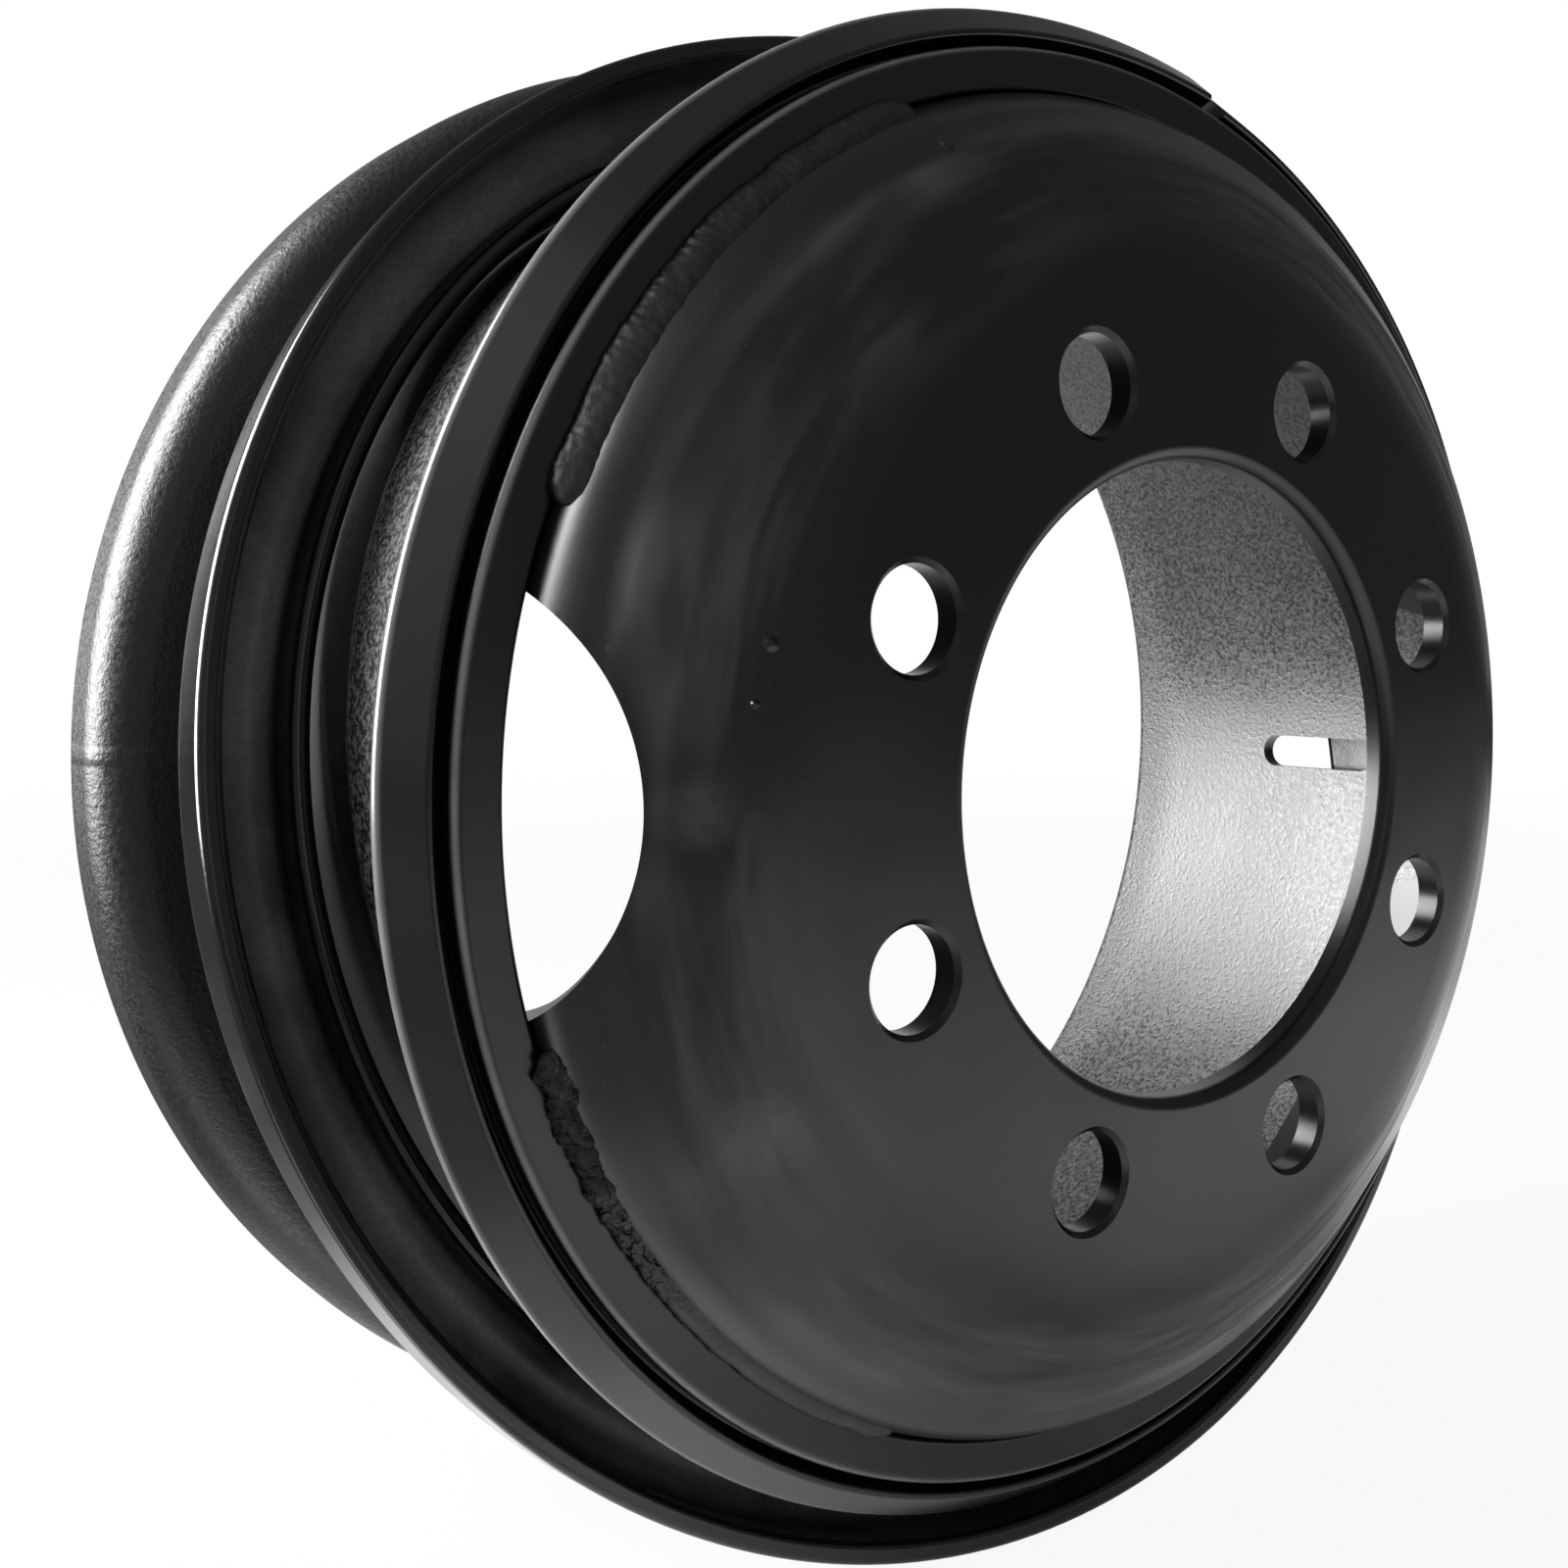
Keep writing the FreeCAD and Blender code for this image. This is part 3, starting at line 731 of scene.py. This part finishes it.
# Studio: a white sweep stands behind the wheel, and the rest of the room is dim, darkest in a corner at
# the left rear and a little paler in front. A tall window at the left and behind lights the bore and makes
# the glints on the edges and the rear flange. Two weak soft boxes from the left model the shoulder.
ROOM = 0.14
BACKDROP = 0.86
BACKDROP_AZIMUTH = math.radians(51)
CORNER_AZIMUTH = math.radians(108)
CORNER_DIM = 0.75
FRONT = 0.13
studio = bpy.data.worlds.new("studio")
studio.use_nodes = True
studio.node_tree.nodes.clear()
facing = Shade(studio.node_tree).node("TexCoord", {}, {}, "Generated")
towards = facing.dot((math.cos(BACKDROP_AZIMUTH), math.sin(BACKDROP_AZIMUTH), 0))
corner = facing.dot((math.cos(CORNER_AZIMUTH), math.sin(CORNER_AZIMUTH), 0))
dim = ROOM * (1 - CORNER_DIM * corner.rise(0.82, 0.95))
room = dim + towards.rise(0.80, 0.97) * BACKDROP + (0.3 - towards).rise(0.2, 1.1) * FRONT
camera_ray = facing.node("LightPath", {}, {}, "Is Camera Ray")
backdrop = facing.node("Background", {}, {"Color": room.most(camera_ray), "Strength": 1.0})
facing.node("OutputWorld", {}, {"Surface": backdrop})
bpy.context.scene.world = studio


def soft_box(name, azimuth, elevation, distance, width, height, radiance):
    """Area lamp aimed at the wheel from that direction, in degrees and metres."""
    across, up = math.radians(azimuth), math.radians(elevation)
    direction = Vector((math.cos(up) * math.cos(across), math.cos(up) * math.sin(across), math.sin(up)))
    bpy.ops.object.light_add(type="AREA", location=direction * distance)
    lamp = bpy.context.object
    lamp.name = name
    lamp.rotation_euler = direction.to_track_quat("Z", "Y").to_euler()
    lamp.data.shape = "RECTANGLE"
    lamp.data.size = width
    lamp.data.size_y = height
    lamp.data.energy = radiance * math.pi * width * height


soft_box("left_window", 148, 21, 2.3, 1.4, 2.2, 27)
soft_box("upper_left_fill", -162, 52, 2.4, 1.2, 0.9, 0.3)
soft_box("front_left_fill", -114, 18, 2.5, 1.1, 1.6, 0.33)

# Camera: at the height of the hub, close to the wheel and turned to its left front, as in the photograph.
SENSOR = 36
LENS = 39.03
SHIFT = (-0.0417, -0.0405)
CAMERA_PLACE = (-0.44857, -0.38186, 0.04661)
CAMERA_TURN = (87.278, -0.209, -38.521)
bpy.ops.object.camera_add(location=CAMERA_PLACE, rotation=[math.radians(turn) for turn in CAMERA_TURN])
camera = bpy.context.object
camera.data.sensor_width = SENSOR
camera.data.lens = LENS
camera.data.shift_x, camera.data.shift_y = SHIFT
bpy.context.scene.camera = camera
bpy.context.scene.view_settings.view_transform = "Standard"
